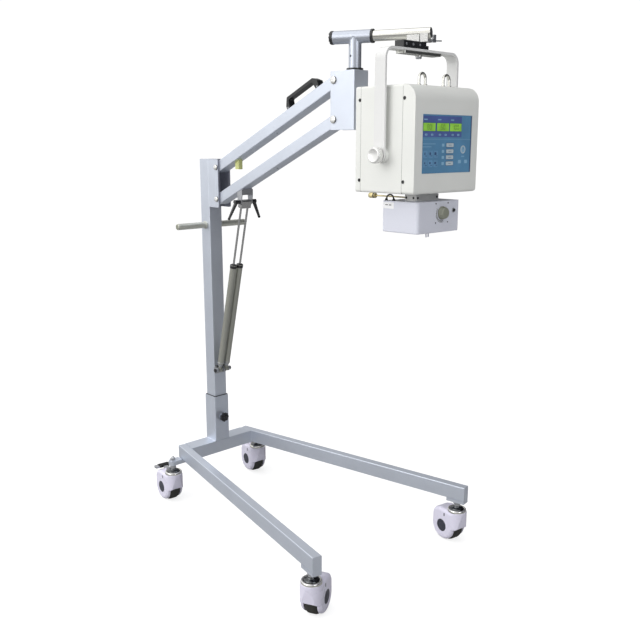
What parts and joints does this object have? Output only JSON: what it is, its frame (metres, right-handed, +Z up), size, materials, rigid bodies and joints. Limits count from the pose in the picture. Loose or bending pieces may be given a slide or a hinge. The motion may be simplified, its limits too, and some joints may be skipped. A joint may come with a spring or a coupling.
{
  "type": "mobile x-ray generator head on a counterbalanced stand",
  "caption": "Box-shaped X-ray generator head with a collimator, hung in a yoke from a counterbalanced parallel arm on a castored column stand.",
  "frame": {"origin": "on the floor, under the middle of the object's box", "axes": "+X the way the legs and arms point, +Y to the stand's left, +Z up"},
  "size_m": [1.0428, 0.6891, 1.5275],
  "materials": {
    "frame": "satin powder coat",
    "black": "matte",
    "steel": "brushed",
    "chrome": "polished",
    "spring_grey": "satin",
    "caster_white": "gloss",
    "tyre": "matte",
    "cream": "satin",
    "yoke_white": "satin",
    "collimator_grey": "satin",
    "panel_blue": "gloss",
    "bumper": "satin",
    "brass": "satin",
    "knob_white": "gloss",
    "olive": "satin",
    "inner": "matte",
    "lead": "matte",
    "cable": "matte",
    "light_alloy": "satin"
  },
  "bodies": {
    "base": {"cross_member": "frame", "left_leg": "frame", "right_leg": "frame", "leg_end_plates": "frame", "caster_stems": "steel", "column_socket": "frame"},
    "socket_knob": {"socket_knob": "black"},
    "column": {"column": "frame", "arm_clevis": "frame", "push_bar": "steel", "column_pins": "chrome", "spring_foot": "steel"},
    "lower_arm": {"lower_arm": "frame", "spring_hanger": "steel"},
    "left_lever": {"left_clamp_lever": "black"},
    "right_lever": {"right_clamp_lever": "black"},
    "cylinders": {"spring_cylinders": "spring_grey"},
    "rods": {"spring_rods": "steel"},
    "upper_arm": {"upper_arm": "frame", "grab_handle": "black", "bump_stop": "bumper"},
    "block": {"arm_block": "frame", "block_pins": "chrome"},
    "tee": {"tee_post": "frame", "tee_tube": "frame", "tee_end_plug": "black", "bearing_rings": "black"},
    "tube": {"chrome_tube": "chrome", "tube_hanger": "light_alloy", "swivel_plate": "black"},
    "lock": {"lock_lever": "steel"},
    "yoke": {"yoke": "yoke_white"},
    "left_knob": {"left_tilt_knob": "knob_white"},
    "right_knob": {"right_tilt_knob": "knob_white"},
    "head": {"rear_cover": "cream", "middle_shell": "cream", "front_bezel": "cream", "control_panel": "panel_blue", "case_screws": "steel", "carry_loops": "chrome", "xray_tube": "lead", "generator_tank": "inner", "collimator_rail": "light_alloy", "collimator_body": "collimator_grey", "lamp_cable": "cable"},
    "dial": {"collimator_knob": "olive"},
    "button": {"lamp_button": "black"},
    "rail_screw": {"rail_screw": "brass"},
    "front_right_fork": {"front_right_hood": "caster_white"},
    "front_right_roller": {"front_right_wheel": "tyre"},
    "front_left_fork": {"front_left_hood": "caster_white"},
    "front_left_roller": {"front_left_wheel": "tyre"},
    "rear_right_fork": {"rear_right_hood": "caster_white"},
    "rear_right_roller": {"rear_right_wheel": "tyre"},
    "rear_right_brake": {"rear_right_pedal": "steel"},
    "rear_left_fork": {"rear_left_hood": "caster_white"},
    "rear_left_roller": {"rear_left_wheel": "tyre"},
    "rear_left_brake": {"rear_left_pedal": "steel"}
  },
  "joints": [
    {"name": "column_slide", "type": "slide", "parent": "base", "child": "column", "axis": [0, 0, 1], "range_m": [0, 0.1]},
    {"name": "socket_knob_turn", "type": "hinge", "parent": "base", "child": "socket_knob", "pos_m": [-0.38882, -0.00535, 0.28], "axis": [1, 0, 0], "continuous": true},
    {"name": "arm_lift", "type": "hinge", "parent": "column", "child": "lower_arm", "pos_m": [-0.35652, -0.00535, 1.0528], "axis": [0, -1, 0], "range_deg": [-45, 12]},
    {"name": "upper_arm_follow", "type": "hinge", "parent": "column", "child": "upper_arm", "pos_m": [-0.35652, -0.00535, 1.1566], "axis": [0, -1, 0], "range_deg": [-45, 12]},
    {"name": "block_follow", "type": "hinge", "parent": "lower_arm", "child": "block", "pos_m": [0.20508, -0.00535, 1.2972], "axis": [0, -1, 0], "range_deg": [-12, 45]},
    {"name": "spring_swing", "type": "hinge", "parent": "column", "child": "cylinders", "pos_m": [-0.38282, -0.00535, 0.458], "axis": [0, -1, 0], "range_deg": [-1, 1]},
    {"name": "spring_stroke", "type": "slide", "parent": "cylinders", "child": "rods", "axis": [0.2425, 0, 0.9701], "range_m": [-0.095, 0.03]},
    {"name": "left_lever_turn", "type": "hinge", "parent": "lower_arm", "child": "left_lever", "pos_m": [-0.23482, -0.00535, 1.05], "axis": [0, 1, 0], "range_deg": [-40, 40]},
    {"name": "right_lever_turn", "type": "hinge", "parent": "lower_arm", "child": "right_lever", "pos_m": [-0.23482, -0.00535, 1.05], "axis": [0, 1, 0], "range_deg": [-40, 40]},
    {"name": "tee_swivel", "type": "hinge", "parent": "block", "child": "tee", "pos_m": [0.25918, -0.00535, 1.45], "axis": [0, 0, 1], "range_deg": [-30, 30]},
    {"name": "tube_roll", "type": "hinge", "parent": "tee", "child": "tube", "pos_m": [0.25918, -0.00535, 1.5095], "axis": [0.9063, 0.4226, 0], "range_deg": [-8, 8]},
    {"name": "yoke_swivel", "type": "hinge", "parent": "tube", "child": "yoke", "pos_m": [0.41778, 0.06861, 1.469], "axis": [0, 0, 1], "range_deg": [-8, 30]},
    {"name": "lock_turn", "type": "hinge", "parent": "tube", "child": "lock", "pos_m": [0.43778, 0.09861, 1.4925], "axis": [1, 0, 0], "range_deg": [-15, 15]},
    {"name": "head_tilt", "type": "hinge", "parent": "yoke", "child": "head", "pos_m": [0.41778, 0.06861, 1.204], "axis": [0, 1, 0], "range_deg": [-6, 45]},
    {"name": "left_tilt_knob_turn", "type": "hinge", "parent": "yoke", "child": "left_knob", "pos_m": [0.41778, 0.21861, 1.204], "axis": [0, 1, 0], "continuous": true},
    {"name": "right_tilt_knob_turn", "type": "hinge", "parent": "yoke", "child": "right_knob", "pos_m": [0.41778, -0.08139, 1.204], "axis": [0, -1, 0], "continuous": true},
    {"name": "dial_turn", "type": "hinge", "parent": "head", "child": "dial", "pos_m": [0.50178, 0.07961, 1.055], "axis": [1, 0, 0], "range_deg": [-60, 60]},
    {"name": "lamp_press", "type": "slide", "parent": "head", "child": "button", "axis": [-1, 0, 0], "range_m": [0, 0.002], "stiffness_N_per_m": 500},
    {"name": "rail_screw_turn", "type": "hinge", "parent": "head", "child": "rail_screw", "pos_m": [0.31778, 0.03361, 1.0932], "axis": [1, 0, 0], "continuous": true},
    {"name": "front_right_swivel", "type": "hinge", "parent": "base", "child": "front_right_fork", "pos_m": [0.42249, -0.31355, 0.1], "axis": [0, 0, 1], "continuous": true},
    {"name": "front_right_roll", "type": "hinge", "parent": "front_right_fork", "child": "front_right_roller", "pos_m": [0.4066, -0.28237, 0.05], "axis": [0.891, 0.454, 0], "continuous": true},
    {"name": "front_left_swivel", "type": "hinge", "parent": "base", "child": "front_left_fork", "pos_m": [0.42249, 0.30285, 0.1], "axis": [0, 0, 1], "continuous": true},
    {"name": "front_left_roll", "type": "hinge", "parent": "front_left_fork", "child": "front_left_roller", "pos_m": [0.38792, 0.30833, 0.05], "axis": [0.1564, 0.9877, 0], "continuous": true},
    {"name": "rear_right_swivel", "type": "hinge", "parent": "base", "child": "rear_right_fork", "pos_m": [-0.43382, -0.19235, 0.1], "axis": [0, 0, 1], "continuous": true},
    {"name": "rear_right_roll", "type": "hinge", "parent": "rear_right_fork", "child": "rear_right_roller", "pos_m": [-0.46869, -0.1893, 0.05], "axis": [0.0872, 0.9962, 0], "continuous": true},
    {"name": "rear_right_pedal_press", "type": "hinge", "parent": "rear_right_fork", "child": "rear_right_brake", "pos_m": [-0.47168, -0.18904, 0.11], "axis": [-0.0872, -0.9962, 0], "range_deg": [0, 5]},
    {"name": "rear_left_swivel", "type": "hinge", "parent": "base", "child": "rear_left_fork", "pos_m": [-0.43382, 0.18165, 0.1], "axis": [0, 0, 1], "continuous": true},
    {"name": "rear_left_roll", "type": "hinge", "parent": "rear_left_fork", "child": "rear_left_roller", "pos_m": [-0.46839, 0.18712, 0.05], "axis": [0.1564, 0.9877, 0], "continuous": true},
    {"name": "rear_left_pedal_press", "type": "hinge", "parent": "rear_left_fork", "child": "rear_left_brake", "pos_m": [-0.47135, 0.18759, 0.11], "axis": [-0.1564, -0.9877, 0], "range_deg": [0, 5]}
  ],
  "couplings": [
    {"joint": "upper_arm_follow", "follows": "arm_lift", "ratio": 1},
    {"joint": "block_follow", "follows": "arm_lift", "ratio": -1},
    {"joint": "spring_swing", "follows": "arm_lift", "ratio": -0.015},
    {"joint": "spring_stroke", "follows": "arm_lift", "m_per_rad": 0.118}
  ]
}
